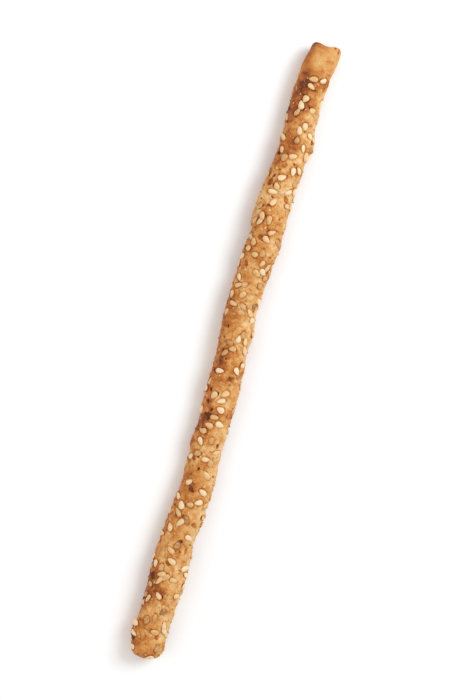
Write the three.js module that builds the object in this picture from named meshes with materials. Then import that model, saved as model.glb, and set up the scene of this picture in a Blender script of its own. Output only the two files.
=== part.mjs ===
// A sesame breadstick: one rod of hand-rolled, baked dough, lying on the side that it was baked on.
// Millimetres, +Z up. The rod lies along Y with its cut end at +Y and its rounded end at -Y.
// The origin is under the middle of the rod, at the centre of its bounding box's underside.
import * as THREE from "three";

// Driving sizes. A wave is given as its height, the waves it makes along the rod and the share of a
// wave that it starts at.
const STICK_LENGTH = 220;
const BODY_RADIUS = 5.55;
const SETTLED_DEPTH = 0.6; // how far the dough sank flat onto the baking tray
const TRAY_SPREAD = 0.05; // share by which the dough widened towards the tray
const BENDS = [[1.3, 0.85, 0.12], [0.455, 2.3, 0.4]]; // waves by which the rod wanders aside
const QUICK_BEND = [0.5, 5.5, 0.65];
const QUICK_BEND_LEFT = 0.3; // share of the quick bend that is left at the rounded end
const SWELLS = [[0.03, 1.6, 0.15], [0.026, 3.7, 0.6], [0.016, 7.1, 0.3]]; // shares of the radius
const HOOK_REACH = 0.6; // how far the cut end turns aside, over its last stretch
const HOOK_LENGTH = 24;
const OVAL_SHARE = 0.035; // how far from round the section is
const OVAL_TURNS = 0.8; // turns that the oval makes along the rod, from rolling the dough
const LUMP_HEIGHT = 0.17;
const LUMP_WAVES = 6;
const LONGEST_LUMPS = 4; // waves that the longest lumps would make along the rod
const LUMP_STEP = 3.1; // waves that each finer one adds
const LUMP_TURNS = 4; // the lumps make 0 to 3 waves round the rod

// The cut end: a rounded rim round a dished face, with its two sides drawn out by the blade.
const TAPER_LENGTH = 34;
const TAPER_SHARE = 0.06;
const FLARE_SHARE = 0.04; // how far the dough swells again, this far from the end
const FLARE_PLACE = 6.5;
const FLARE_REACH = 3.5;
const RIM_WIDTH = 2.6; // the rim's rounding, inwards and along the rod
const RIM_LENGTH = 2.5;
const CUT_DISH = 0.8;
const EAR_REACH = 0.85;
const EAR_LENGTH = 8;
const CUT_SKEW = 0.4; // how far the cut runs out towards +X and back towards -X

// The rounded end.
const TAIL_LENGTH = 5.5;
const TAIL_SQUARENESS = 2.5;

// How finely the surface is cut into rings and sides.
const SIDES = 32;
const BODY_RINGS = 84;
const TAIL_RINGS = 6;
const RIM_RINGS = 6;
const FACE_RINGS = 3;

const GOLDEN_ANGLE = Math.PI * (3 - Math.sqrt(5));
const wave = (share, [height, waves, start]) =>
  height * Math.sin(2 * Math.PI * (waves * share + start));
const sumOfWaves = (share, waves) => waves.reduce((sum, each) => sum + wave(share, each), 0);

// A smooth rise from 0 to 1 as x goes from 0 to 1.
function smoothRise(x) {
  const t = Math.min(Math.max(x, 0), 1);
  return t * t * (3 - 2 * t);
}

// How far the rod's axis lies to one side. share runs from 0 at the rounded end to 1 at the cut end.
function sideways(share) {
  const intoHook = Math.max(0, 1 - ((1 - share) * STICK_LENGTH) / HOOK_LENGTH);
  const hook = HOOK_REACH * intoHook * intoHook;
  const quickShare = QUICK_BEND_LEFT + (1 - QUICK_BEND_LEFT) * share;
  return sumOfWaves(share, BENDS) + quickShare * wave(share, QUICK_BEND) + hook;
}

// The rod's radius without its lumps: slow swells from stretching by hand, and a taper to the cut end
// with a slight flare on it.
function girth(share) {
  const fromCut = (1 - share) * STICK_LENGTH;
  const taper = TAPER_SHARE * (1 - smoothRise(fromCut / TAPER_LENGTH));
  const flare = FLARE_SHARE * Math.exp(-(((fromCut - FLARE_PLACE) / FLARE_REACH) ** 2));
  return BODY_RADIUS * (1 + sumOfWaves(share, SWELLS) - taper + flare);
}

// Lumps in the dough: waves that run along and round the rod, each finer and lower than the last,
// and started a golden angle apart so that they never line up.
function lumps(share, angle) {
  let height = 0;
  for (let k = 1; k <= LUMP_WAVES; k++) {
    const alongAngle = 2 * Math.PI * (LONGEST_LUMPS + LUMP_STEP * k) * share;
    const roundAngle = (k % LUMP_TURNS) * angle;
    height += Math.sin(alongAngle + roundAngle + k * GOLDEN_ANGLE) / Math.sqrt(k);
  }
  return LUMP_HEIGHT * height;
}

// A point of the skin: its ring's place along the rod, the angle round it, and how far the ring is
// drawn in towards the axis, from 1 on the body to 0 at the middle of an end.
function skinPoint(along, angle, drawnIn) {
  const share = along / STICK_LENGTH;
  const oval = OVAL_SHARE * Math.cos(2 * angle - 2 * Math.PI * OVAL_TURNS * share);
  const radius = drawnIn * (girth(share) * (1 + oval) + lumps(share, angle));
  const widened = 1 + (TRAY_SPREAD * (1 - Math.sin(angle))) / 2;
  const fromCut = STICK_LENGTH - along;
  const cutShape = EAR_REACH * Math.cos(2 * angle) + CUT_SKEW * Math.cos(angle);
  const drawnOut = cutShape * drawnIn * (1 - smoothRise(fromCut / EAR_LENGTH));
  const axisHeight = girth(share) - SETTLED_DEPTH;
  return new THREE.Vector3(
    sideways(share) + radius * Math.cos(angle) * widened,
    along - STICK_LENGTH / 2 + drawnOut,
    Math.max(axisHeight + radius * Math.sin(angle), 0),
  );
}

// The rings from the rounded end to the cut end, each as its place along the rod and how drawn in it is.
function ringPlaces() {
  const rings = [];
  for (let i = 1; i <= TAIL_RINGS; i++) {
    const depth = 1 - Math.cos((Math.PI / 2) * (i / TAIL_RINGS));
    const drawnIn = (1 - (1 - depth) ** TAIL_SQUARENESS) ** (1 / TAIL_SQUARENESS);
    rings.push({ along: TAIL_LENGTH * depth, drawnIn });
  }
  const bodyLength = STICK_LENGTH - TAIL_LENGTH - RIM_LENGTH;
  for (let i = 1; i <= BODY_RINGS; i++) {
    rings.push({ along: TAIL_LENGTH + (bodyLength * i) / BODY_RINGS, drawnIn: 1 });
  }
  const rimShare = RIM_WIDTH / girth(1);
  for (let i = 1; i <= RIM_RINGS; i++) {
    const turn = (Math.PI / 2) * (i / RIM_RINGS);
    rings.push({
      along: STICK_LENGTH - RIM_LENGTH * (1 - Math.sin(turn)),
      drawnIn: 1 - rimShare * (1 - Math.cos(turn)),
    });
  }
  for (let i = 1; i < FACE_RINGS; i++) {
    const inwards = 1 - i / FACE_RINGS;
    rings.push({
      along: STICK_LENGTH - CUT_DISH * (1 - inwards * inwards),
      drawnIn: (1 - rimShare) * inwards,
    });
  }
  return rings;
}

// The closed skin: a point at each end, and bands of triangles between neighbouring rings.
function breadstickGeometry() {
  const rings = ringPlaces();
  const points = [skinPoint(0, 0, 0)];
  for (const { along, drawnIn } of rings) {
    for (let side = 0; side < SIDES; side++) {
      points.push(skinPoint(along, (2 * Math.PI * side) / SIDES, drawnIn));
    }
  }
  points.push(skinPoint(STICK_LENGTH - CUT_DISH, 0, 0));
  const last = points.length - 1;
  const at = (ring, side) => 1 + ring * SIDES + (side % SIDES);

  const faces = [];
  for (let side = 0; side < SIDES; side++) {
    faces.push(0, at(0, side), at(0, side + 1));
    faces.push(last, at(rings.length - 1, side + 1), at(rings.length - 1, side));
    for (let ring = 0; ring + 1 < rings.length; ring++) {
      const [a, b] = [at(ring, side), at(ring, side + 1)];
      const [c, d] = [at(ring + 1, side), at(ring + 1, side + 1)];
      faces.push(a, c, b, b, c, d);
    }
  }
  const geometry = new THREE.BufferGeometry().setFromPoints(points).setIndex(faces);
  geometry.computeBoundingBox();
  const middle = geometry.boundingBox.getCenter(new THREE.Vector3());
  geometry.translate(-middle.x, -middle.y, 0);
  geometry.computeVertexNormals();
  return geometry;
}

const bakedCrust = new THREE.MeshStandardMaterial({
  name: "baked_crust",
  color: 0xd09a5c,
  roughness: 0.7,
  metalness: 0,
});

const breadstick = new THREE.Mesh(breadstickGeometry(), bakedCrust);
breadstick.name = "breadstick";

const part = new THREE.Group();
part.add(breadstick);

export default part;
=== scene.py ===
# A sesame breadstick: baked dough, the sesame seeds pressed into it and the crumbs stuck to it.
# Laid out as a Blender add-on and run as a script. The shape functions' lengths are millimetres.
import itertools
import math

import bpy
import numpy as np
from mathutils import Matrix, Vector


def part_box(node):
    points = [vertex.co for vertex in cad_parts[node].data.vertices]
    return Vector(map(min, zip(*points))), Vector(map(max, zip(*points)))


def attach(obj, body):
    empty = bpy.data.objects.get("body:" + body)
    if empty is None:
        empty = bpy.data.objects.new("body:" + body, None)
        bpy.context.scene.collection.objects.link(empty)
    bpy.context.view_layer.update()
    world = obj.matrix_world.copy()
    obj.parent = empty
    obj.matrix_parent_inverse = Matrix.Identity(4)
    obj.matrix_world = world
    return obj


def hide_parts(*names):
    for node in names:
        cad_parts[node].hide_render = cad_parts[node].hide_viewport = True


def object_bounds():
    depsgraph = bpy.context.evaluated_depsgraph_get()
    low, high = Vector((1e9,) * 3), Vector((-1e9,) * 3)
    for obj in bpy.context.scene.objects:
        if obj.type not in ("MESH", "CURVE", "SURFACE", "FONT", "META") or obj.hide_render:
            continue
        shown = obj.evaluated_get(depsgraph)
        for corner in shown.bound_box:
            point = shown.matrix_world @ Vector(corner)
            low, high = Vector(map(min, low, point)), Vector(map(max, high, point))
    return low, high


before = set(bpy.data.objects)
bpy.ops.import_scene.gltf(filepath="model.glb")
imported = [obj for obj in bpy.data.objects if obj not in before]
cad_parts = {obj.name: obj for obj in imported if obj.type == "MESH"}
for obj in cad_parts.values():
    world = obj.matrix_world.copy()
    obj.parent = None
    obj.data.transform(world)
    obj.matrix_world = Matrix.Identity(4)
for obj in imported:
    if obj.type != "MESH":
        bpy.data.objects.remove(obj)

bl_info = {
    "name": "Sesame Breadstick",
    "version": (1, 0, 0),
    "blender": (4, 5, 0),
    "location": "View3D > Sidebar > Breadstick",
    "description": "Makes a baked breadstick with sesame seeds, and the stage that it lies on",
    "category": "Add Mesh",
}

CAD_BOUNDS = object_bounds()
STICK_LOW, STICK_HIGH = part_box("breadstick")
MM = 0.001  # a millimetre in metres, which is what Blender's objects are in

# The rod, as the CAD part has it. A wave is its height, the waves it makes along the rod and the
# share of a wave that it starts at.
STICK_LENGTH = 220.0
BODY_RADIUS = 5.55
SETTLED_DEPTH = 0.6
TRAY_SPREAD = 0.05
BENDS = ((1.3, 0.85, 0.12), (0.455, 2.3, 0.4))
QUICK_BEND = (0.5, 5.5, 0.65)
QUICK_BEND_LEFT = 0.3
SWELLS = ((0.03, 1.6, 0.15), (0.026, 3.7, 0.6), (0.016, 7.1, 0.3))
HOOK_REACH = 0.6
HOOK_LENGTH = 24.0
OVAL_SHARE = 0.035
OVAL_TURNS = 0.8
LUMP_HEIGHT = 0.17
LUMP_WAVES = 6
LONGEST_LUMPS = 4
LUMP_STEP = 3.1
LUMP_TURNS = 4
TAPER_LENGTH = 34.0
TAPER_SHARE = 0.06
FLARE_SHARE = 0.04
FLARE_PLACE = 6.5
FLARE_REACH = 3.5
RIM_WIDTH = 2.6
RIM_LENGTH = 2.5
CUT_DISH = 0.8
EAR_REACH = 0.85
EAR_LENGTH = 8.0
CUT_SKEW = 0.4
TAIL_LENGTH = 5.5
TAIL_SQUARENESS = 2.5
GOLDEN_ANGLE = math.pi * (3 - math.sqrt(5))

# How finely the way over the rod's skin is measured.
ROUNDING_STEPS = 60
BODY_STEPS = 900
FACE_STEPS = 30
OUTLINE_SIDES = 64

# How finely the dough is made. Its rings and its sides are both about 0.28 mm apart.
DOUGH_RINGS = 779
DOUGH_SIDES = 122
MAP_STRIPS = 3  # the dough's map folds the rod into this many strips, side by side
MAP_GAP = 0.012  # the gap round each strip, as a share of it
MAP_MARGIN = 0.04  # the gap round each seed's or crumb's own square, as a share of it
UNDERSIDE = -math.pi / 2  # the angle round the rod that faces down

# Layers of noise on the crust, each as its height, its size in millimetres and its random order.
# The heights are in millimetres, and for the tone in shares of the way from pale to dark brown.
SLOW_UNEVENNESS = ((0.20, 6.5, 11), (0.17, 3.0, 12))
PEBBLY_GRAIN = ((0.15, 1.6, 21), (0.09, 0.9, 22))
SOFT_GRAIN = ((0.11, 1.6, 23), (0.07, 0.8, 24))
BROAD_TONE = ((0.20, 14.0, 31), (0.18, 5.0, 32))
FINE_TONE = ((0.12, 2.0, 33),)
FACE_GRAIN = ((0.05, 0.9, 41),)
FACE_PEBBLES = ((0.06, 1.1, 42),)
COMMON_TONE = 0.42  # the tone that the noise and the marks darken or lighten

# Marks on the crust: the random order of each kind, how many there are, and for most the least
# distance between two in millimetres.
WRINKLE_ORDER, WRINKLES = 45, 54
BLISTERS = (44, 70, 3.5)
SCARS = (42, 46, 4.5)
PITS = (43, 120, 1.8)

# The cut end, in millimetres and angles round the rod.
BARE_TURN = 0.4  # the bare stretch reaches least far along the rod on this side
RIM_TOAST_PLACE, RIM_TOAST_WIDTH = 2.0, 1.3  # past the edge
RIM_ENDS, FACE_STARTS = 3.2, 4.0  # past the edge
# Toasted marks on its shoulders: how far past the edge, the angle, the size, the tone, and how far
# the dough swells round it.
SHOULDER_MARKS = (
    (1.5, 2.70, 0.70, 0.50, 0.55),
    (2.3, 0.80, 0.55, 0.60, 0.0),
    (0.4, 0.50, 0.60, 0.50, 0.0),
)
BROWN_PATCH_PLACE, BROWN_PATCH_LENGTH = 18.0, 8.5  # before the edge
BROWN_PATCH_ANGLE, BROWN_PATCH_SPREAD = 2.0, 1.15

# Seeds and crumbs, in millimetres unless said otherwise.
SEED_ORDER, CRUMB_ORDER = 41, 46  # their random orders
SEEDS_APART = 2.05
SEED_POINTEDNESS = 0.36  # how much narrower than an oval a seed is at its point
SEED_RINGS, SEED_SIDES = 6, 8
DEEP_SEEDS = 0.32  # the share of seeds that are pressed in deep
DEEPLY_PRESSED, LIGHTLY_PRESSED = (0.20, 0.36), (0.03, 0.18)  # from the least to the most
CRUMBS_APART = 0.9
CRUMB_POINTEDNESS = 0.1
CRUMB_RINGS, CRUMB_SIDES = 3, 6
LOWEST_CRUMB = 0.6  # how high above the tray crumbs begin
TRAY_CLEARANCE = 0.03  # how far seeds and crumbs keep clear of the tray

SKIN_INSET = 0.08  # how far the crust lies inside the smooth skin before its relief is added
TRAY_PRESSED = 0.55  # the share of the relief that the tray pressed flat underneath
SMOOTH_POLE = 1.6  # how far round the middle of each end the relief fades away

# The stage, in metres, from the middle of the stick.
KEY_PLACE, KEY_SIZE = Vector((0.42, 0.38, 0.62)), 0.40
FILL_PLACE, FILL_SIZE = Vector((-0.55, -0.25, 0.50)), 0.60


# ---- noise ----


def hashed(cells, order):
    """A number from 0 to 1 for each whole-number cell, the same each time for the same order: the
    cell's three numbers and the order are multiplied by large odd numbers, joined and stirred."""
    whole = cells.astype(np.int64).astype(np.uint64)
    stirred = whole[..., 0] * np.uint64(0x9E3779B97F4A7C15)
    stirred ^= whole[..., 1] * np.uint64(0xC2B2AE3D27D4EB4F)
    stirred ^= whole[..., 2] * np.uint64(0x165667B19E3779F9)
    stirred ^= np.uint64(order * 0x27D4EB2F165667C5 & 0xFFFFFFFFFFFFFFFF)
    stirred ^= stirred >> np.uint64(31)
    stirred *= np.uint64(0xBF58476D1CE4E5B9)
    stirred ^= stirred >> np.uint64(29)
    stirred *= np.uint64(0x94D049BB133111EB)
    stirred ^= stirred >> np.uint64(32)
    return (stirred >> np.uint64(11)).astype(float) / 2.0**53


def three_hashed(cells, order):
    """Three such numbers for each cell."""
    return np.stack([hashed(cells, 3 * order + axis) for axis in range(3)], -1)


def soft_noise(points, cell, order):
    """Gradient noise from about -1 to 1. Each corner of a lattice with this cell size has a slope
    of its own; a point's value is the eased blend of what its cell's eight corners' slopes give
    there."""
    spot = points / cell
    corner_low = np.floor(spot)
    within = spot - corner_low
    ease = within**3 * (within * (within * 6 - 15) + 10)
    total = np.zeros(points.shape[:-1])
    for step in itertools.product((0, 1), repeat=3):
        corner = corner_low + step
        slope = three_hashed(corner, order) * 2 - 1
        share = np.where(np.array(step) == 1, ease, 1 - ease).prod(-1)
        total += share * (slope * (within - step)).sum(-1)
    return 1.9 * total


def pebbles(points, cell, order):
    """Round-topped pebbles packed side by side, from 1 at the middle of each to 0 or less in the
    grooves: 1 less one and a quarter times the distance, in cells, to the nearest centre. Each
    cell has one centre, anywhere in it."""
    spot = points / cell
    corner_low = np.floor(spot)
    nearest = np.full(points.shape[:-1], np.inf)
    for step in itertools.product((-1, 0, 1), repeat=3):
        corner = corner_low + step
        centre = corner + three_hashed(corner, order)
        nearest = np.minimum(nearest, ((centre - spot) ** 2).sum(-1))
    return 1 - 1.25 * np.sqrt(nearest)


def layered(kind, points, layers):
    """Several layers of one kind of noise, each with its own height, size and random order, added
    up."""
    return sum(height * kind(points, size, order) for height, size, order in layers)


def smooth_rise(x, start, end):
    """A smooth rise from 0 where x is at the start to 1 at the end, and held outside: with t the
    share of the way, 3t squared less 2t cubed."""
    t = np.clip((x - start) / (end - start), 0, 1)
    return t * t * (3 - 2 * t)


def between(low, high, share):
    """The value this share of the way from low to high."""
    return low + (high - low) * share


def turned(angle):
    """The same angle, brought between half a turn back and half a turn on."""
    return (angle + math.pi) % (2 * math.pi) - math.pi


def bell(x, middle=0.0, width=1.0):
    """A smooth bump, 1 at the middle and near 0 two widths off: e to the power of minus the square
    of how many widths x is off the middle."""
    return np.exp(-(((x - middle) / width) ** 2))


# ---- the rod's smooth skin ----


def sum_of_waves(share, waves):
    """The sum of sines along the rod, each with its own height, number of waves and start."""
    return sum(
        height * np.sin(2 * math.pi * (number * share + start)) for height, number, start in waves
    )


def sideways(share):
    """How far the axis lies to one side at this share of the length: two slow sines, a quick one
    that grows to the cut end, and over the last stretch a hook that grows with the square of the
    way in."""
    into_hook = np.maximum(0, 1 - (1 - share) * STICK_LENGTH / HOOK_LENGTH)
    quick_share = QUICK_BEND_LEFT + (1 - QUICK_BEND_LEFT) * share
    quick = quick_share * sum_of_waves(share, [QUICK_BEND])
    return sum_of_waves(share, BENDS) + quick + HOOK_REACH * into_hook**2


def girth(share):
    """The radius without lumps: the body's, with three slow sines of swell, the cut end's taper,
    and a bell-shaped flare on that."""
    from_cut = (1 - share) * STICK_LENGTH
    taper = TAPER_SHARE * (1 - smooth_rise(from_cut, 0, TAPER_LENGTH))
    flare = FLARE_SHARE * bell(from_cut, FLARE_PLACE, FLARE_REACH)
    return BODY_RADIUS * (1 + sum_of_waves(share, SWELLS) - taper + flare)


def lumps(share, angle):
    """Six sines that run along and round the rod, each finer and lower than the last, started a
    golden angle apart."""
    height = 0
    for k in range(1, LUMP_WAVES + 1):
        along_angle = 2 * math.pi * (LONGEST_LUMPS + LUMP_STEP * k) * share
        round_angle = (k % LUMP_TURNS) * angle
        height = height + np.sin(along_angle + round_angle + k * GOLDEN_ANGLE) / math.sqrt(k)
    return LUMP_HEIGHT * height


def skin_points(along, angle, drawn_in):
    """The rod's smooth skin. A point goes out from the axis by girth plus lumps, made slightly
    oval and wider towards the tray; its height is held at the tray. Near the cut end it is drawn
    out along the rod by the cosine of twice the angle, and skewed by the cosine of the angle."""
    share = along / STICK_LENGTH
    oval = OVAL_SHARE * np.cos(2 * angle - 2 * math.pi * OVAL_TURNS * share)
    radius = drawn_in * (girth(share) * (1 + oval) + lumps(share, angle))
    widened = 1 + TRAY_SPREAD * (1 - np.sin(angle)) / 2
    near_cut = 1 - smooth_rise(STICK_LENGTH - along, 0, EAR_LENGTH)
    cut_shape = EAR_REACH * np.cos(2 * angle) + CUT_SKEW * np.cos(angle)
    x = sideways(share) + radius * np.cos(angle) * widened
    y = along - STICK_LENGTH / 2 + cut_shape * drawn_in * near_cut
    z = np.maximum(girth(share) - SETTLED_DEPTH + radius * np.sin(angle), 0)
    return np.stack([x, y, z], -1)


class RodPath:
    """The way from the middle of the rounded end, over the skin, to the middle of the cut face. A
    place on the rod is its distance walked along this way and its angle round the axis."""

    def __init__(self):
        turn = np.linspace(0, math.pi / 2, ROUNDING_STEPS)
        depth = 1 - np.cos(turn)
        rounded = (1 - (1 - depth) ** TAIL_SQUARENESS) ** (1 / TAIL_SQUARENESS)
        rim_share = RIM_WIDTH / girth(1.0)
        inwards = np.linspace(1, 0, FACE_STEPS)
        legs = [
            (TAIL_LENGTH * depth, rounded),
            (np.linspace(TAIL_LENGTH, STICK_LENGTH - RIM_LENGTH, BODY_STEPS), np.ones(BODY_STEPS)),
            (STICK_LENGTH - RIM_LENGTH * (1 - np.sin(turn)), 1 - rim_share * (1 - np.cos(turn))),
            (STICK_LENGTH - CUT_DISH * (1 - inwards**2), (1 - rim_share) * inwards),
        ]
        self.along = np.concatenate([leg[0] for leg in legs])
        self.drawn_in = np.concatenate([leg[1] for leg in legs])
        outwards = self.drawn_in * girth(self.along / STICK_LENGTH)
        steps = np.hypot(np.diff(self.along), np.diff(outwards))
        self.walked = np.concatenate([[0], np.cumsum(steps)])
        self.length = self.walked[-1]
        self.cut_edge = self.walked[ROUNDING_STEPS + BODY_STEPS - 1]

        outline = np.linspace(0, 2 * math.pi, OUTLINE_SIDES)
        smooth = skin_points(self.along[:, None], outline[None], self.drawn_in[:, None])
        middle = (smooth.min((0, 1)) + smooth.max((0, 1))) / 2
        cad_middle = np.array((STICK_LOW + STICK_HIGH) / 2) / MM
        self.shift = np.array([cad_middle[0] - middle[0], cad_middle[1] - middle[1], 0])

    def radius(self, walked):
        """How far the skin is from the axis at this distance walked."""
        along = np.interp(walked, self.walked, self.along)
        return self.share_drawn_in(walked) * girth(along / STICK_LENGTH)

    def share_drawn_in(self, walked):
        """How far a ring is drawn in towards the axis: 1 on the body and 0 at the middle of an
        end."""
        return np.interp(walked, self.walked, self.drawn_in)

    def skin(self, walked, angle):
        """The smooth skin's points at these places, in the frame of the part."""
        along = np.interp(walked, self.walked, self.along)
        return skin_points(along, angle, self.share_drawn_in(walked)) + self.shift

    def axes(self, walked, angle, step=0.4):
        """Unit directions at each place: along the rod, round it and outwards, from the skin's
        slopes over a small step each way."""
        ahead = np.clip(walked + step, 0, self.length)
        behind = np.clip(walked - step, 0, self.length)
        along = self.skin(ahead, angle) - self.skin(behind, angle)
        turn = step / np.maximum(self.radius(walked), step)
        round_rod = self.skin(walked, angle + turn) - self.skin(walked, angle - turn)
        along = unit(along)
        outwards = unit(np.cross(along, round_rod))
        return along, np.cross(outwards, along), outwards


def unit(vectors):
    """Each vector divided by its own length."""
    return vectors / np.maximum(np.linalg.norm(vectors, axis=-1, keepdims=True), 1e-9)


PATH = RodPath()


# ---- things scattered over the crust ----


def facing_down(angle):
    """From 0 where the skin faces up or sideways to 1 where it faces the tray."""
    return smooth_rise(-np.sin(angle), start=0.35, end=0.85)


def bare_border(angle, from_edge, slant):
    """How far along the rod the bare stretch by the cut end begins: this far before the edge,
    slanted round the rod by a cosine of the angle."""
    return PATH.cut_edge - from_edge + slant * np.cos(angle - BARE_TURN)


def scattered(order, count, apart, liking, rounds=60):
    """Places over the skin, at least so many millimetres apart: each try is spread evenly, and is
    kept if a number drawn for it is under the liking of that place. Returns rows of walked, angle,
    heading and one spare number from 0 to 1."""
    draw = np.random.default_rng(order)
    kept = np.empty((0, 4))
    for _ in range(rounds):
        tries = draw.random((count, 5)) * [PATH.length, 2 * math.pi, 2 * math.pi, 1, 1]
        tries = tries[tries[:, 4] < liking(tries[:, 0], tries[:, 1])]
        for place in tries:
            ahead = kept[:, 0] - place[0]
            turn = turned(kept[:, 1] - place[1])
            gaps = np.hypot(ahead, turn * PATH.radius(place[0]))
            if len(kept) < count and not (gaps < apart).any():
                kept = np.vstack([kept, place[:4]])
    return kept


def seed_liking(walked, angle):
    """Where seeds stick: nowhere on the bare stretch by the cut end, seldom underneath, thinly at
    the rounded end, and elsewhere in patches that slow noise gives."""
    usual, patchiness, least, lost_underneath = 0.62, 0.55, 0.1, 0.93
    ring = np.stack([3 * np.cos(angle), walked / 5.0, 3 * np.sin(angle)], -1)
    patches = usual + patchiness * soft_noise(ring, cell=2.4, order=5)
    bare = bare_border(angle, from_edge=10.5, slant=2.0)
    on_body = smooth_rise(bare - walked, start=0, end=2.5) * smooth_rise(walked, start=3.0, end=7.0)
    return np.clip(patches, least, 1) * on_body * (1 - lost_underneath * facing_down(angle))


def mark_liking(walked, angle):
    """Where marks are: on the body, and less near both ends and underneath."""
    near_ends, lost_underneath = 0.08, 0.6
    off_cut_end = smooth_rise(PATH.cut_edge - walked, start=9, end=15)
    on_body = off_cut_end * smooth_rise(walked, start=4, end=8)
    off_ends = (walked > 2.5) * (walked < PATH.cut_edge - 1)
    return between(near_ends, 1, on_body) * off_ends * (1 - lost_underneath * facing_down(angle))


def crumb_liking(walked, angle):
    """Where crumbs stick: where marks are, but not on the strip that lies on the tray."""
    return mark_liking(walked, angle) * (PATH.skin(walked, angle)[..., 2] > LOWEST_CRUMB)


def varied(draw, count, middle, spread, most):
    """Random numbers spread normally about the middle, and held within so much of it."""
    return draw.normal(middle, spread, count).clip(middle - most, middle + most)


def scatter_seeds(sizes):
    """The sesame seeds: scattered places, each with a length, a width and how far it is pressed
    into the dough."""
    places = scattered(SEED_ORDER, sizes.count, SEEDS_APART, seed_liking)
    count = len(places)
    draw = np.random.default_rng(SEED_ORDER + 100)
    length = sizes.length / MM * varied(draw, count, middle=1, spread=0.075, most=0.16)
    width = sizes.width / MM * varied(draw, count, middle=1, spread=0.08, most=0.16)
    deep = draw.random(count) < DEEP_SEEDS
    deeply, lightly = (draw.uniform(*depths, count) for depths in (DEEPLY_PRESSED, LIGHTLY_PRESSED))
    pressed = np.where(deep, deeply, lightly)
    return {"places": places, "length": length, "width": width, "pressed": pressed, "deep": deep}


# ---- the crust's relief and tone ----


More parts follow.
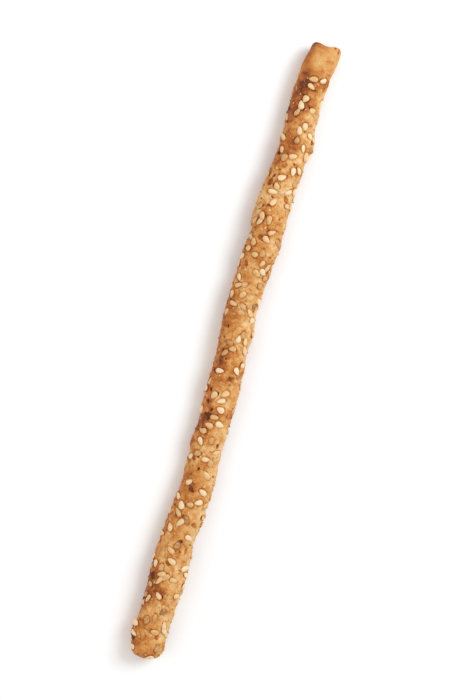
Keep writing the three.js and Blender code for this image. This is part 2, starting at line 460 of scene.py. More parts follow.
class Crust:
    """The dough's surface on a grid of rings and angles: its slow and fine relief in millimetres,
    its tone, from 0, pale, to 1, dark brown, which carries painted shade as well as the crust's
    own colour, and how rough its skin is."""

    def __init__(self, rings, angles):
        self.rings, self.angles = rings, angles
        self.radii = PATH.radius(rings)
        self.walked, self.angle = np.meshgrid(rings, angles, indexing="ij")
        self.points = PATH.skin(self.walked, self.angle)
        self.lay_grain()

    def lay_grain(self):
        """Slow noise makes the dough uneven; pebbles and soft noise are its grain. Creases, narrow
        bells where noise crosses zero, cut into it in patches, and painted shade darkens them. All
        fade on the smooth bare stretch, and broad noise sets the tone everywhere."""
        bare_smoothness, crease_width, crease_depth, crease_shade = 0.72, 0.11, 0.24, 0.16
        points = self.points
        bare = bare_border(self.angle, from_edge=9.5, slant=2.2)
        self.rough = 1 - bare_smoothness * smooth_rise(self.walked - bare, start=-2.0, end=3.5)
        self.slow = self.rough * layered(soft_noise, points, SLOW_UNEVENNESS)
        in_patches = np.clip(0.55 + 0.9 * soft_noise(points, cell=5.0, order=26), 0, 1)
        wandering = soft_noise(points * [1.0, 0.7, 1.0], cell=2.4, order=25)
        creases = in_patches * bell(wandering, width=crease_width)
        grain = layered(pebbles, points, PEBBLY_GRAIN) + layered(soft_noise, points, SOFT_GRAIN)
        self.fine = self.rough * (grain - crease_depth * creases)
        self.tone = COMMON_TONE + layered(soft_noise, points, BROAD_TONE)
        # Fine noise varies the tone, and painted shade darkens the creases.
        self.tone += self.rough * (layered(soft_noise, points, FINE_TONE) + crease_shade * creases)

    def near(self, place, half_length, half_width, reach, pointed=0.0):
        """The rings near a mark, and how far out of it each point there lies: 0 at its middle and
        1 at the edge of an oval whose front end is drawn to a point, its axes turned by the
        heading."""
        walked, angle, heading = place[:3]
        rows = slice(*np.searchsorted(self.rings, [walked - reach, walked + reach]))
        ahead = (self.rings[rows] - walked)[:, None]
        aside = turned(self.angles - angle)[None] * self.radii[rows][:, None]
        forward = (ahead * math.cos(heading) + aside * math.sin(heading)) / half_length
        across = (aside * math.cos(heading) - ahead * math.sin(heading)) / half_width
        narrowed = 1 - pointed * np.clip(forward, -1, 1)
        return rows, np.hypot(forward, across / narrowed)

    def add_wrinkles(self):
        """Wrinkles across the rod, bowed towards the cut end by a cosine: each is a groove,
        darkened by painted shade, between two low rolls, all three bells, and fades round the rod
        as a bell too."""
        reach, groove_width, painted_shade, shade_width = 2.5, 0.26, 0.9, 0.35
        roll_height, roll_place, roll_width = 0.55, 0.55, 0.4
        draw = np.random.default_rng(WRINKLE_ORDER)
        for start, middle, span, bow, depth in draw.random((WRINKLES, 5)):
            turn = turned(self.angle - middle * 2 * math.pi)
            bowed = between(0.6, 1.8, bow) * np.cos(2.2 * turn)
            off = self.walked - between(4, PATH.cut_edge - 2, start) - bowed
            fade = between(0.10, 0.22, depth) * bell(turn, width=between(0.35, 0.80, span))
            fade *= np.abs(off) < reach
            rolls = bell(off, roll_place, roll_width) + bell(off, -roll_place, roll_width)
            self.fine += fade * (roll_height * rolls - bell(off, width=groove_width))
            # Painted shade darkens the groove.
            self.tone += painted_shade * fade * bell(off, width=shade_width)

    def add_blisters(self):
        """Blisters: low bell-shaped domes that browned on top."""
        browning = 0.16
        for *place, chance in scattered(*BLISTERS, mark_liking):
            size, height = between(0.8, 1.9, chance), between(0.14, 0.28, chance)
            rows, out = self.near(place, 1.25 * size, size, reach=4.5, pointed=0.1)
            self.fine[rows] += height * bell(1.05 * out)
            self.tone[rows] += browning * bell(1.2 * out)

    def add_scars(self):
        """Scars: the beds of seeds that fell off, with a flat floor darkened by painted shade and a
        low crisp edge.
        """
        flatness, depth, edge_height = 0.7, 0.3, 0.09
        for *place, chance in scattered(*SCARS, mark_liking):
            half_length, painted_shade = between(1.25, 1.60, chance), between(0.17, 0.34, chance)
            rows, out = self.near(place, half_length, 0.6 * half_length, reach=3.5, pointed=0.28)
            floor = smooth_rise(out, start=1.12, end=0.82)
            edge = bell(out, middle=1.3, width=0.2)
            flattened = self.fine[rows] * (1 - flatness * floor)
            self.fine[rows] = flattened - depth * floor + edge_height * edge
            # Painted shade darkens the floor.
            self.tone[rows] += painted_shade * floor

    def add_pits(self):
        """Pits: small deep pores, darkened inside by painted shade, with a faint lip."""
        lip_height, painted_shade = 0.06, 0.42
        for *place, chance in scattered(*PITS, mark_liking):
            size, depth = between(0.26, 0.60, chance**2), between(0.3, 0.55, chance)
            rows, out = self.near(place, 1.5 * size, size, reach=2.2)
            hole = smooth_rise(out, start=1.25, end=0.55)
            lip = bell(out, middle=1.5, width=0.35)
            self.fine[rows] += lip_height * lip - depth * hole
            # Painted shade darkens the hole.
            self.tone[rows] += painted_shade * hole

    def add_seats(self, seeds):
        """Seats: the dough is flat and lower under each seed, with a bell-shaped lip pushed up
        round it, which is higher the deeper the seed is pressed in. Painted shade darkens the dough
        under the seed and in a ring at its edge."""
        depth, painted_shade, rim_shade = 0.2, 0.05, 0.17
        measures = (seeds[name] for name in ("places", "length", "width", "pressed"))
        for place, length, width, pressed in zip(*measures):
            rows, out = self.near(place, length / 2, width / 2, reach=3.6, pointed=SEED_POINTEDNESS)
            lip_height = 0.09 + 0.25 * pressed
            seat = smooth_rise(out, start=1.18, end=0.78)
            lip = bell(out, middle=1.3, width=0.24) * lip_height
            self.fine[rows] = self.fine[rows] * (1 - seat) - depth * seat + lip
            # Painted shade darkens the dough under the seed and in a ring at its edge.
            self.tone[rows] += rim_shade * bell(out, middle=1.12, width=0.2) + painted_shade * seat

    def toast_cut_end(self):
        """The cut end's smooth skin is paler, with a rim that browned, most on its two sides,
        toasted marks on its shoulders, and a grain of its own on the cut face."""
        rim_toast, side_toast, raggedness = 0.05, 0.20, 0.35
        bare_paleness, face_paleness = 0.09, 0.05
        from_edge = self.walked - PATH.cut_edge
        on_rim = bell(from_edge, RIM_TOAST_PLACE, RIM_TOAST_WIDTH)
        self.tone += on_rim * (rim_toast + side_toast * np.abs(np.cos(self.angle)) ** 3)
        ragged = 1 + raggedness * soft_noise(self.points, cell=0.9, order=43)
        for along_rod, round_rod, size, depth, swollen in SHOULDER_MARKS:
            aside = turned(self.angle - round_rod) * self.radii[:, None]
            off = np.hypot(from_edge - along_rod, aside)
            self.tone += depth * bell(off * ragged, width=size)
            self.fine += swollen * bell(off, width=2.4 * size)
        self.tone -= bare_paleness * (1 - self.rough)
        on_face = smooth_rise(from_edge, RIM_ENDS, FACE_STARTS)
        face_grain = layered(soft_noise, self.points, FACE_GRAIN)
        face_grain += layered(pebbles, self.points, FACE_PEBBLES)
        self.fine += on_face * face_grain
        self.tone -= face_paleness * on_face

    def brown(self):
        """High places browned first. Hollows look darker too, from the oil that they hold and from
        painted shade. The underside is browner all along, and so is a patch before the bare
        stretch;
        one side is painted darker as shade and the other paler as light."""
        by_height, hollow_oil_and_shade, underneath, painted_side_shade, in_patch = 0.28, 0.55, 0.22, 0.15, 0.19
        self.tone += by_height * np.clip(self.slow, -0.3, 0.3)
        # Hollows are darker: the oil that they hold, and painted shade.
        self.tone += hollow_oil_and_shade * np.clip(-self.fine - 0.07, 0, 0.4)
        self.tone += underneath * facing_down(self.angle)
        # One side is painted darker as shade and the other paler as light.
        self.tone -= painted_side_shade * np.cos(self.angle)
        on_patch = bell(PATH.cut_edge - self.walked, BROWN_PATCH_PLACE, BROWN_PATCH_LENGTH)
        on_patch *= bell(turned(self.angle - BROWN_PATCH_ANGLE), width=BROWN_PATCH_SPREAD)
        self.tone += in_patch * on_patch


# ---- meshes ----


def tube_faces(rings, sides):
    """The faces of a closed skin whose points are a first pole, rings of sides, and a last pole,
    as quads and as the two fans. Beside each comes the row and the side that each corner has in a
    map."""
    ring, side = np.divmod(np.arange((rings - 1) * sides), sides)
    here = 1 + ring * sides + side
    beside = 1 + ring * sides + (side + 1) % sides
    quads = np.stack([here, here + sides, beside + sides, beside], -1)
    quad_rows = np.stack([ring + 1, ring + 2, ring + 2, ring + 1], -1)
    quad_sides = np.stack([side, side, side + 1, side + 1], -1)
    edge = np.arange(sides)
    following = (edge + 1) % sides
    last = rings * sides + 1
    start = last - sides
    fans = np.concatenate([
        np.stack([0 * edge, 1 + edge, 1 + following], -1),
        np.stack([0 * edge + last, start + following, start + edge], -1),
    ])
    fan_rows = np.repeat([[0, 1, 1], [rings + 1, rings, rings]], sides, axis=0)
    fan_sides = np.concatenate([
        np.stack([edge + 0.5, edge, edge + 1], -1),
        np.stack([edge + 0.5, edge + 1, edge], -1),
    ])
    return (quads, quad_rows, quad_sides), (fans, fan_rows, fan_sides)


def folded_map(rows, sides, all_rows, all_sides, strips):
    """Places in a square map for faces' corners: the skin is cut into strips of equal length,
    which stand side by side with a thin gap between them."""
    first = rows.min(axis=1, keepdims=True)
    strip = np.minimum(first * strips // all_rows, strips - 1)
    up = (rows - strip * all_rows / strips) / (all_rows / strips)
    across = strip + MAP_GAP + (1 - 2 * MAP_GAP) * sides / all_sides
    return np.stack([across / strips, MAP_GAP + (1 - 2 * MAP_GAP) * up], -1)


def new_mesh(name, bodies, strips, tones):
    """One closed mesh of several alike bodies. bodies is their points, in millimetres and as
    (bodies, rings x sides + 2, 3), and how many rings and sides each has. Each body has its own
    square in the map, and tones are numbers that the points carry."""
    points, rings, sides = bodies
    count, per_body = points.shape[:2]
    cells = math.ceil(math.sqrt(count))
    body = np.arange(count)
    cell = np.stack([body % cells, body // cells], -1)[:, None, None]
    margin = MAP_MARGIN if count > 1 else 0
    corner_parts, map_parts, size_parts = [], [], []
    for faces, rows, face_sides in tube_faces(rings, sides):
        corner_parts.append((faces + per_body * body[:, None, None]).ravel())
        places = folded_map(rows, face_sides, rings + 1, sides, strips)
        map_parts.append(((cell + margin + (1 - 2 * margin) * places) / cells).reshape(-1, 2))
        size_parts.append(np.full(len(faces) * count, faces.shape[1]))
    corners, map_places, sizes = map(np.concatenate, (corner_parts, map_parts, size_parts))

    mesh = bpy.data.meshes.new(name)
    mesh.vertices.add(count * per_body)
    mesh.vertices.foreach_set("co", (points * MM).astype(np.float32).ravel())
    mesh.loops.add(len(corners))
    mesh.loops.foreach_set("vertex_index", corners.astype(np.int32))
    mesh.polygons.add(len(sizes))
    mesh.polygons.foreach_set("loop_start", (np.cumsum(sizes) - sizes).astype(np.int32))
    mesh.update(calc_edges=True)
    mesh.uv_layers.new(name="OFBake")
    mesh.uv_layers["OFBake"].uv.foreach_set("vector", map_places.astype(np.float32).ravel())
    for tone_name, values in tones.items():
        layer = mesh.attributes.new(tone_name, "FLOAT", "POINT")
        layer.data.foreach_set("value", values.astype(np.float32).ravel())
    mesh.shade_smooth()
    if mesh.validate(verbose=False):
        raise RuntimeError(f"{name} came out with faces that Blender had to mend")
    return mesh


def new_piece(name, mesh, material):
    """Shows this mesh as a piece of the stick, with this material."""
    mesh.materials.append(material)
    piece = bpy.data.objects.new(name, mesh)
    bpy.context.scene.collection.objects.link(piece)
    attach(piece, "root")
    return piece


def dough_body(seeds):
    """The dough's points: the smooth skin at each ring and side, moved along its outward direction
    by the relief less a small inset, and held at the tray. Beside them come each point's tone and
    roughness."""
    rings = PATH.length * np.arange(1, DOUGH_RINGS + 1) / (DOUGH_RINGS + 1)
    angles = UNDERSIDE + 2 * math.pi * np.arange(DOUGH_SIDES) / DOUGH_SIDES
    crust = Crust(rings, angles)
    crust.add_wrinkles()
    crust.add_blisters()
    crust.add_scars()
    crust.add_pits()
    crust.add_seats(seeds)
    crust.toast_cut_end()
    crust.brown()

    off_poles = smooth_rise(crust.radii, 0, SMOOTH_POLE)[:, None]
    pressed = 1 - TRAY_PRESSED * facing_down(crust.angle)
    outwards = PATH.axes(crust.walked, crust.angle)[2]
    relief = (crust.slow + crust.fine) * off_poles * pressed - SKIN_INSET
    skin = crust.points + outwards * relief[..., None]
    skin[..., 2] = np.maximum(skin[..., 2], 0)
    poles = skin[[0, -1]].mean(axis=1, keepdims=True)
    points = np.concatenate([poles[0], skin.reshape(-1, 3), poles[1]])[None]
    tones = {
        name: np.concatenate([[layer[0].mean()], layer.ravel(), [layer[-1].mean()]])
        for name, layer in (("tone", crust.tone), ("rough", crust.rough))
    }
    return (points, DOUGH_RINGS, DOUGH_SIDES), tones


def pointed_ovals(sizes, rings, sides, pointed, draw, jitter):
    """Pointed, flattened ovals about the origin, of these lengths, widths and thicknesses, lying
    along x with their flat sides up and down. At x from -1 to 1 the half width is the root of 1
    less x squared, times 1 less the pointedness times x; the section is an oval with slightly
    squared sides, wound so that its faces point outwards. Each point is moved in or out by a
    random share."""
    count = len(sizes)
    turn = math.pi * np.arange(1, rings + 1) / (rings + 1)
    x = -np.cos(turn)
    half = np.sin(turn) * (1 - pointed * x)
    angle = -2 * math.pi * np.arange(sides) / sides
    cosine, sine = np.cos(angle), np.sin(angle)
    squareness = 2.3
    squared = (np.abs(cosine) ** squareness + np.abs(sine) ** squareness) ** (-1 / squareness)
    outline = np.stack([cosine * squared, sine * squared], -1)
    grid = np.empty((rings, sides, 3))
    grid[..., 0] = x[:, None]
    grid[..., 1:] = half[:, None, None] * outline
    grid = grid * draw.normal(1, jitter, (count, rings, sides, 1))
    first, last = (np.broadcast_to([end, 0, 0], (count, 1, 3)) for end in (-1.0, 1.0))
    points = np.concatenate([first, grid.reshape(count, -1, 3), last], axis=1)
    return points * (sizes / 2)[:, None]


def laid_on_crust(points, places, lift, tilt, roll):
    """Moves bodies from the origin to their places: each is tilted end up and rolled sideways by
    small angles, turned by its heading, and set on the skin with its middle lifted along the
    outward way. One that would reach below the tray is raised into the dough until it clears
    it."""
    walked, angle, heading = places[:, 0], places[:, 1], places[:, 2]
    along, round_rod, outwards = PATH.axes(walked, angle)
    ahead = along * np.cos(heading)[:, None] + round_rod * np.sin(heading)[:, None]
    beside = np.cross(outwards, ahead)
    nose = unit(ahead + outwards * np.tan(tilt)[:, None])
    side = unit(beside + outwards * np.tan(roll)[:, None])
    up = unit(np.cross(nose, side))
    side = np.cross(up, nose)
    directions = np.stack([nose, side, up], axis=1)
    centres = PATH.skin(walked, angle) + outwards * lift[:, None]
    laid = points @ directions + centres[:, None]
    lowest = laid[..., 2].min(axis=1, keepdims=True)
    laid[..., 2] += np.maximum(TRAY_CLEARANCE - lowest, 0)
    return laid


def height_of_dough(places):
    """How far out of the smooth skin the dough's own surface lies at these places, taken from the
    dough's nearest points. The dough has to be there already."""
    mesh = bpy.data.objects["dough"].data
    flat = np.empty(3 * len(mesh.vertices), np.float32)
    mesh.vertices.foreach_get("co", flat)
    walked, angle = places[:, 0], places[:, 1]
    ring = np.rint(walked / PATH.length * (DOUGH_RINGS + 1)).astype(int).clip(1, DOUGH_RINGS) - 1
    side = np.rint((angle - UNDERSIDE) / (2 * math.pi) * DOUGH_SIDES).astype(int) % DOUGH_SIDES
    nearest = flat.reshape(-1, 3)[1 + ring * DOUGH_SIDES + side] / MM
    outwards = PATH.axes(walked, angle)[2]
    return ((nearest - PATH.skin(walked, angle)) * outwards).sum(-1)


# ---- materials ----


class Finish:
    """A material as it is put together. Its patterns' sizes are in millimetres, and they stay with
    the piece, because they read its own coordinates."""

    def __init__(self, name):
        self.material = bpy.data.materials.new(name)
        self.material.use_nodes = True
        self.tree = self.material.node_tree
        self.tree.nodes.clear()
        self.shader = self.add_node("ShaderNodeBsdfPrincipled", {})
        self.add_node("ShaderNodeOutputMaterial", {"Surface": self.shader.outputs["BSDF"]})
        self.place = self.add_node("ShaderNodeTexCoord", {}).outputs["Object"]

    def set_inputs(self, node, inputs):
        """Sets a node's inputs: each has a value, or an output socket that is linked to it."""
        for name, value in inputs.items():
            if isinstance(value, bpy.types.NodeSocket):
                self.tree.links.new(value, node.inputs[name])
            else:
                node.inputs[name].default_value = value

    def add_node(self, kind, inputs, **settings):
        """Adds a node with these inputs and settings."""
        node = self.tree.nodes.new(kind)
        for name, value in settings.items():
            setattr(node, name, value)
        self.set_inputs(node, inputs)
        return node

    def attribute(self, name):
        """A number that the piece's points carry."""
        return self.add_node("ShaderNodeAttribute", {}, attribute_name=name).outputs["Fac"]

    def noise(self, size, detail=2.0, roughness=0.5):
        """Noise from 0 to 1 whose lumps are about this size."""
        inputs = {"Vector": self.place, "Scale": 1 / (size * MM)}
        inputs |= {"Detail": detail, "Roughness": roughness}
        return self.add_node("ShaderNodeTexNoise", inputs).outputs["Fac"]

    def mottle(self, spread, size, detail=3.0, roughness=0.5):
        """Noise of this size, from half the spread below 0 to half of it above."""
        return self.maths("MULTIPLY_ADD", self.noise(size, detail, roughness), spread, -spread / 2)

    def maths(self, operation, first, second=0.0, third=0.0, held=False):
        """The operation on one, two or three values, held between 0 and 1 if asked."""
        inputs = {0: first, 1: second, 2: third}
        node = self.add_node("ShaderNodeMath", inputs, operation=operation, use_clamp=held)
        return node.outputs["Value"]

    def rescaled(self, value, low, high, to_low=0.0, to_high=1.0):
        """The value, held between low and high, and brought to between the two others."""
        inputs = {"Value": value, "From Min": low, "From Max": high}
        inputs |= {"To Min": to_low, "To Max": to_high}
        return self.add_node("ShaderNodeMapRange", inputs).outputs["Result"]

    def spots(self, size, reach, soft):
        """Round spots: 1 inside, 0 outside, by the distance to the nearest of cells of this
        size."""
        inputs = {"Vector": self.place, "Scale": 1 / (size * MM), "Randomness": 1.0}
        distance = self.add_node("ShaderNodeTexVoronoi", inputs).outputs["Distance"]
        return self.rescaled(distance, reach, reach + soft, to_low=1.0, to_high=0.0)

    def lines(self, size, width):
        """Fine wandering lines: 1 where noise of this size crosses its middle value, 0
        elsewhere."""
        wandering = self.noise(size, detail=3.0, roughness=0.55)
        off = self.maths("ABSOLUTE", self.maths("SUBTRACT", wandering, 0.5))
        return self.rescaled(off, 0.0, width, to_low=1.0, to_high=0.0)

    def ramp(self, value, stops):
        """A colour for each value: stops are (position, colour), blended smoothly between."""
        node = self.add_node("ShaderNodeValToRGB", {"Fac": value})
        node.color_ramp.interpolation = "B_SPLINE" if len(stops) > 4 else "EASE"
        elements = node.color_ramp.elements
        while len(elements) < len(stops):
            elements.new(0.5)
        for element, (position, colour) in zip(elements, stops):
            element.position = position
            element.color = (*colour, 1.0)
        return node.outputs["Color"]

    def mixed(self, share, first, second):
        """The first colour, changed to the second by this share."""
        inputs = {0: share, 6: first, 7: (*second, 1.0)}
        return self.add_node("ShaderNodeMix", inputs, data_type="RGBA").outputs[2]

    def bump(self, height, strength, distance):
        """The surface roughened by this height, of which 1 stands for this many millimetres."""
        inputs = {"Strength": strength, "Distance": distance * MM, "Height": height}
        return self.add_node("ShaderNodeBump", inputs).outputs["Normal"]

    def shaded(self, inputs):
        """Sets the shader's inputs and gives the finished material."""
        self.set_inputs(self.shader, inputs)
        return self.material


def crust_material(colours):
    """Baked crust: its tone attribute and two sizes of noise pick a colour between pale and the
    darkest crust colour, which is also the painted shade in pits; bran flecks and pale flour specks
    lie over it, and fine grain, pores and hairlines roughen it. The hairlines also darken it a
    little, as painted shade in the fine cracks."""
    finish = Finish("baked crust")
    rough = finish.attribute("rough")
    mottled = finish.mottle(spread=0.8, size=1.7, detail=4.0, roughness=0.62)
    speckled = finish.mottle(spread=0.6, size=0.4, roughness=0.6)
    in_patches = finish.rescaled(finish.noise(size=4.0), low=0.45, high=0.62)
    hairlines = finish.maths("MULTIPLY", finish.lines(size=1.7, width=0.022), in_patches)
    hairlines = finish.maths("MULTIPLY", hairlines, rough)
    strength = finish.maths("MULTIPLY_ADD", rough, 0.65, 0.35)
    uneven = finish.maths("MULTIPLY", finish.maths("ADD", mottled, speckled), strength)
    # Hairlines darken the tone a little: painted shade in the fine cracks.
    uneven = finish.maths("MULTIPLY_ADD", hairlines, 0.06, uneven)
    depth = finish.maths("ADD", finish.attribute("tone"), uneven, held=True)
    baked = finish.ramp(depth, [
        (0.05, colours.pale), (0.34, colours.golden), (0.56, colours.amber),
        (0.78, colours.brown), (0.98, colours.charred_and_pit_shade),
    ])
    bran = finish.maths("MULTIPLY", finish.spots(size=1.1, reach=0.10, soft=0.09), 0.5)
    flour = finish.maths("MULTIPLY", finish.spots(size=0.8, reach=0.06, soft=0.16), 0.35)
    flecked = finish.mixed(bran, baked, colours.brown)
    coarse_grain = finish.maths("MULTIPLY", finish.noise(size=0.6, detail=3.0, roughness=0.55), 0.8)
    fine_grain = finish.noise(size=0.22, detail=3.0, roughness=0.6)
    grain = finish.maths("MULTIPLY_ADD", fine_grain, 0.6, coarse_grain)
    pores = finish.maths("MULTIPLY", finish.spots(size=0.7, reach=0.05, soft=0.14), 0.5)
    height = finish.maths("SUBTRACT", grain, pores)
    height = finish.maths("SUBTRACT", height, finish.maths("MULTIPLY", hairlines, 0.45))
    return finish.shaded({
        "Base Color": finish.mixed(flour, flecked, colours.pale),
        "Roughness": finish.rescaled(
            finish.noise(size=3.5, detail=3.0), low=0.3, high=0.7, to_low=0.5, to_high=0.74
        ),
        "Normal": finish.bump(height, strength=0.8, distance=0.14),
        "Subsurface Weight": 0.12,
        "Subsurface Radius": (1.0, 0.42, 0.16),
        "Subsurface Scale": 0.8 * MM,
        "Specular IOR Level": 0.28,
    })


def seed_material(colours):
    """Toasted sesame: each seed's tone picks a colour from ivory to golden brown, darker at its
    point; a faint mottle and a fine dimpled skin lie over it, with a satin sheen."""
    finish = Finish("sesame seed")
    depth = finish.maths("ADD", finish.attribute("tone"), finish.mottle(spread=0.5, size=0.8))
    at_point = finish.maths("MULTIPLY", finish.attribute("point"), 0.35)
    depth = finish.maths("ADD", depth, at_point, held=True)
    return finish.shaded({
        "Base Color": finish.ramp(depth, [
            (0.1, colours.ivory), (0.5, colours.straw),
            (0.8, colours.toasted), (1.0, colours.browned),
        ]),
        "Roughness": finish.rescaled(finish.noise(size=1.2), 0.0, 1.0, to_low=0.34, to_high=0.58),
        "Normal": finish.bump(finish.noise(size=0.3), strength=0.35, distance=0.05),
        "Subsurface Weight": 0.25,
        "Subsurface Radius": (1.0, 0.6, 0.3),
        "Subsurface Scale": 0.8 * MM,
    })


def crumb_material(colours):
    """Crumbs: toasted grains whose tone attribute picks a colour from pale to brown, dry and
    matt."""
    finish = Finish("toasted crumb")
    mottled = finish.mottle(spread=0.4, size=0.5)
    depth = finish.maths("ADD", finish.attribute("tone"), mottled, held=True)
    return finish.shaded({
        "Base Color": finish.ramp(depth, [
            (0.1, colours.pale), (0.55, colours.golden), (0.9, colours.brown),
        ]),
        "Roughness": finish.rescaled(finish.noise(size=0.9), 0.0, 1.0, to_low=0.6, to_high=0.85),
    })


def floor_material(colour):
    """Matt pale paper: the colour with a trace of unevenness."""
    finish = Finish("pale floor")
    darker = tuple(0.985 * part for part in colour)
    return finish.shaded({
        "Base Color": finish.ramp(finish.noise(size=180), [(0.3, darker), (0.7, colour)]),
        "Roughness": 0.9,
        "Specular IOR Level": 0.1,
    })


# ---- settings ----


def number_property(name, description, default, **more):
    """A number that a user may change, with its limits and what it measures."""
    return bpy.props.FloatProperty(name=name, description=description, default=default, **more)


def count_property(name, description, default):
    """A whole number of things that a user may change."""
    return bpy.props.IntProperty(name=name, description=description, default=default, min=1)


def length_property(name, description, default):
    """A length, in metres, that a user may change."""
    return number_property(
        name, description, default, min=0, precision=5, unit="LENGTH", subtype="DISTANCE"
    )


def colour_property(name, description, default):
    """A colour that a user may change."""
    return bpy.props.FloatVectorProperty(
        name=name, description=description, default=default, subtype="COLOR", size=3, min=0, max=1
    )


class DoughSettings(bpy.types.PropertyGroup):
    """The colours that the dough bakes to; the darkest is also the painted shade in its pits."""

    pale: colour_property("Pale", "Where the crust stayed light", (0.78, 0.53, 0.275))
    golden: colour_property("Golden", "The commonest colour of the crust", (0.67, 0.345, 0.10))
    amber: colour_property("Amber", "Where the crust browned a little", (0.52, 0.182, 0.028))
    brown: colour_property("Brown", "Where the crust browned well", (0.36, 0.083, 0.010))
    # The darkest crust colour, also the painted shade on the floors of pits and cracks.
    charred_and_pit_shade: colour_property("Charred", "The floors of pits and cracks", (0.12, 0.026, 0.005))


class SesameSettings(bpy.types.PropertyGroup):
    """The sesame seeds' number, sizes and colours."""

    count: count_property("Seeds", "Seeds on the stick", 255)
    length: length_property("Length", "A seed's length", 0.0032)
    width: length_property("Width", "A seed's width", 0.00195)
    thickness: length_property("Thickness", "A seed's thickness", 0.00082)
    ivory: colour_property("Ivory", "The palest seeds", (0.83, 0.615, 0.37))
    straw: colour_property("Straw", "The commonest colour of a seed", (0.73, 0.46, 0.21))
    toasted: colour_property("Toasted", "Well toasted seeds", (0.58, 0.31, 0.10))
    browned: colour_property("Browned", "The darkest seeds and points", (0.33, 0.13, 0.035))


class CrumbSettings(bpy.types.PropertyGroup):
    """The crumbs' number, size and colours."""

    count: count_property("Crumbs", "Crumbs on the stick", 520)
    size: length_property("Size", "The largest crumb", 0.0011)
    pale: colour_property("Pale", "The palest crumbs", (0.80, 0.56, 0.29))
    golden: colour_property("Golden", "The commonest colour of a crumb", (0.60, 0.33, 0.12))
    brown: colour_property("Brown", "The darkest crumbs", (0.24, 0.08, 0.02))


class StageSettings(bpy.types.PropertyGroup):
    """The floor, the lights and the camera."""

    lean: number_property(
        "Lean", "How far the stick leans over in the picture", math.radians(17), subtype="ANGLE"
    )
    distance: length_property("Distance", "From the camera to the floor", 0.575)
    focal_length: number_property("Focal Length", "The camera's lens, in millimetres", 85.0, min=10)
    floor_size: length_property("Floor", "A side of the floor", 6.0)
    floor_colour: colour_property("Floor Colour", "The floor's colour", (0.93, 0.93, 0.93))
    sky: number_property("Sky", "How bright the surroundings are", 0.74, min=0)
    key: number_property("Key", "Power of the main soft light, in watts", 4.3, min=0)
    key_colour: colour_property("Key Colour", "The main soft light's colour", (0.86, 0.94, 1.0))
    fill: number_property("Fill", "Power of the other soft light, in watts", 1.0, min=0)
    fill_colour: colour_property("Fill Colour", "The other soft light's colour", (1.0, 0.74, 0.54))


# ---- operators ----


class BREADSTICK_OT_add_dough(bpy.types.Operator):
    """Make the baked dough, with its wrinkles, blisters, pits and the seeds' seats"""

    bl_idname = "breadstick.add_dough"
    bl_label = "Add Dough"

    def execute(self, context):
        body, tones = dough_body(scatter_seeds(context.scene.breadstick_sesame))
        mesh = new_mesh("dough", body, MAP_STRIPS, tones)
        material = crust_material(context.scene.breadstick_dough)
        dough = new_piece("dough", mesh, material)
        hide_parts("breadstick")
        return {"FINISHED"}


class BREADSTICK_OT_add_sesame(bpy.types.Operator):
    """Press the sesame seeds into the dough"""

    bl_idname = "breadstick.add_sesame"
    bl_label = "Add Sesame"

    def execute(self, context):
        settings = context.scene.breadstick_sesame
        seeds = scatter_seeds(settings)
        places, length = seeds["places"], seeds["length"]
        count = len(places)
        draw = np.random.default_rng(SEED_ORDER + 200)
        thickness = settings.thickness / MM * varied(draw, count, middle=1, spread=0.08, most=0.2)
        sizes = np.stack([length, seeds["width"], thickness], -1)
        points = pointed_ovals(sizes, SEED_RINGS, SEED_SIDES, SEED_POINTEDNESS, draw, jitter=0.012)
        tilt = varied(draw, count, middle=0, spread=0.11, most=0.25)
        roll = varied(draw, count, middle=0, spread=0.14, most=0.3)
        lift = height_of_dough(places) + thickness / 2 - seeds["pressed"]
        laid = laid_on_crust(points, places, lift, tilt, roll)
        tone = np.where(seeds["deep"], draw.uniform(0.45, 0.95, count), draw.beta(1.6, 3.4, count))
        front = points[..., 0] / (length / 2)[:, None]
        tones = {
            "tone": np.repeat(tone, points.shape[1]),
            "point": smooth_rise(front, start=0.55, end=0.95),
        }
        mesh = new_mesh("sesame_seeds", (laid, SEED_RINGS, SEED_SIDES), 1, tones)
        new_piece("sesame_seeds", mesh, seed_material(settings))
        return {"FINISHED"}


class BREADSTICK_OT_add_crumbs(bpy.types.Operator):
    """Stick the crumbs to the crust"""

    bl_idname = "breadstick.add_crumbs"
    bl_label = "Add Crumbs"

    def execute(self, context):
        settings = context.scene.breadstick_crumbs
        places = scattered(CRUMB_ORDER, settings.count, CRUMBS_APART, crumb_liking)
        count = len(places)
        draw = np.random.default_rng(CRUMB_ORDER + 200)
        length = settings.size / MM * draw.uniform(0.35, 1.0, count) ** 1.4
        width = length * draw.uniform(0.6, 0.95, count)
        thickness = length * draw.uniform(0.45, 0.8, count)
        sizes = np.stack([length, width, thickness], -1)
        points = pointed_ovals(
            sizes, CRUMB_RINGS, CRUMB_SIDES, CRUMB_POINTEDNESS, draw, jitter=0.24
        )
        tilt = draw.uniform(-0.5, 0.5, count)
        roll = draw.uniform(-0.5, 0.5, count)
        lift = height_of_dough(places) + thickness / 2 * draw.uniform(-0.3, 0.45, count)
        laid = laid_on_crust(points, places, lift, tilt, roll)
        tones = {"tone": np.repeat(draw.beta(2.6, 2.0, count), points.shape[1])}
        mesh = new_mesh("crumbs", (laid, CRUMB_RINGS, CRUMB_SIDES), 1, tones)
        mesh.shade_flat()
        new_piece("crumbs", mesh, crumb_material(settings))
        return {"FINISHED"}


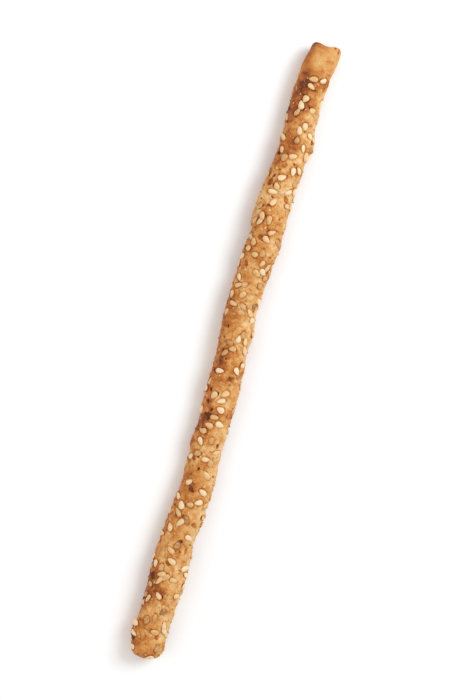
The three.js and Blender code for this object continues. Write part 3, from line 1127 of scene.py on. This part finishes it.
class BREADSTICK_OT_set_stage(bpy.types.Operator):
    """Lay out the pale floor, the soft studio light and the camera"""

    bl_idname = "breadstick.set_stage"
    bl_label = "Set Stage"

    def execute(self, context):
        scene = context.scene
        settings = scene.breadstick_stage
        low, high = CAD_BOUNDS
        middle = (Vector(low) + Vector(high)) / 2

        half = settings.floor_size / 2
        corners = [(-half, -half, 0), (half, -half, 0), (half, half, 0), (-half, half, 0)]
        mesh = bpy.data.meshes.new("floor")
        mesh.from_pydata(corners, [], [(0, 1, 2, 3)])
        mesh.materials.append(floor_material(settings.floor_colour))
        floor = bpy.data.objects.new("floor", mesh)
        scene.collection.objects.link(floor)

        world = bpy.data.worlds.new("studio")
        world.use_nodes = True
        sky = world.node_tree.nodes["Background"].inputs
        sky["Color"].default_value = (1.0, 1.0, 1.0, 1.0)
        sky["Strength"].default_value = settings.sky
        scene.world = world
        scene.view_settings.view_transform = "Standard"
        add_softbox("key", middle + KEY_PLACE, middle, KEY_SIZE, settings.key, settings.key_colour)
        add_softbox(
            "fill", middle + FILL_PLACE, middle, FILL_SIZE, settings.fill, settings.fill_colour
        )

        lens = bpy.data.cameras.new("camera")
        lens.lens = settings.focal_length
        lens.sensor_width = 36.0
        lens.clip_start = 0.01
        lens.clip_end = 50.0
        camera = bpy.data.objects.new("camera", lens)
        right = Vector((math.cos(settings.lean), math.sin(settings.lean), 0))
        up = Vector((-math.sin(settings.lean), math.cos(settings.lean), 0))
        facing = Matrix((right, up, Vector((0, 0, 1)))).transposed().to_4x4()
        camera.matrix_world = Matrix.Translation((middle.x, middle.y, settings.distance)) @ facing
        scene.collection.objects.link(camera)
        scene.camera = camera
        return {"FINISHED"}


def add_softbox(name, place, target, size, power, colour):
    """A square soft light at this place, facing the target."""
    light = bpy.data.lights.new(name, "AREA")
    light.size = size
    light.energy = power
    light.color = colour
    lamp = bpy.data.objects.new(name, light)
    lamp.location = place
    lamp.rotation_euler = (target - place).to_track_quat("-Z", "Y").to_euler()
    bpy.context.scene.collection.objects.link(lamp)


class BREADSTICK_PT_tools(bpy.types.Panel):
    """The breadstick's settings and the steps that make it"""

    bl_idname = "BREADSTICK_PT_tools"
    bl_label = "Sesame Breadstick"
    bl_space_type = "VIEW_3D"
    bl_region_type = "UI"
    bl_category = "Breadstick"

    def draw(self, context):
        for operator, settings_name, group in STEPS:
            box = self.layout.box()
            for name in group.__annotations__:
                box.prop(getattr(context.scene, settings_name), name)
            box.operator(operator.bl_idname)


# Each step's operator, and its settings with their name in the scene.
STEPS = (
    (BREADSTICK_OT_add_dough, "breadstick_dough", DoughSettings),
    (BREADSTICK_OT_add_sesame, "breadstick_sesame", SesameSettings),
    (BREADSTICK_OT_add_crumbs, "breadstick_crumbs", CrumbSettings),
    (BREADSTICK_OT_set_stage, "breadstick_stage", StageSettings),
)


def register():
    """Makes the settings, operators and panel known to Blender."""
    for operator, name, group in STEPS:
        bpy.utils.register_class(group)
        setattr(bpy.types.Scene, name, bpy.props.PointerProperty(type=group))
        bpy.utils.register_class(operator)
    bpy.utils.register_class(BREADSTICK_PT_tools)


def unregister():
    """Takes them away again, in the opposite order."""
    bpy.utils.unregister_class(BREADSTICK_PT_tools)
    for operator, name, group in reversed(STEPS):
        bpy.utils.unregister_class(operator)
        delattr(bpy.types.Scene, name)
        bpy.utils.unregister_class(group)


def main():
    """Makes the breadstick and its stage."""
    register()
    bpy.ops.breadstick.add_dough()
    bpy.ops.breadstick.add_sesame()
    bpy.ops.breadstick.add_crumbs()
    bpy.ops.breadstick.set_stage()


if __name__ == "__main__":
    main()
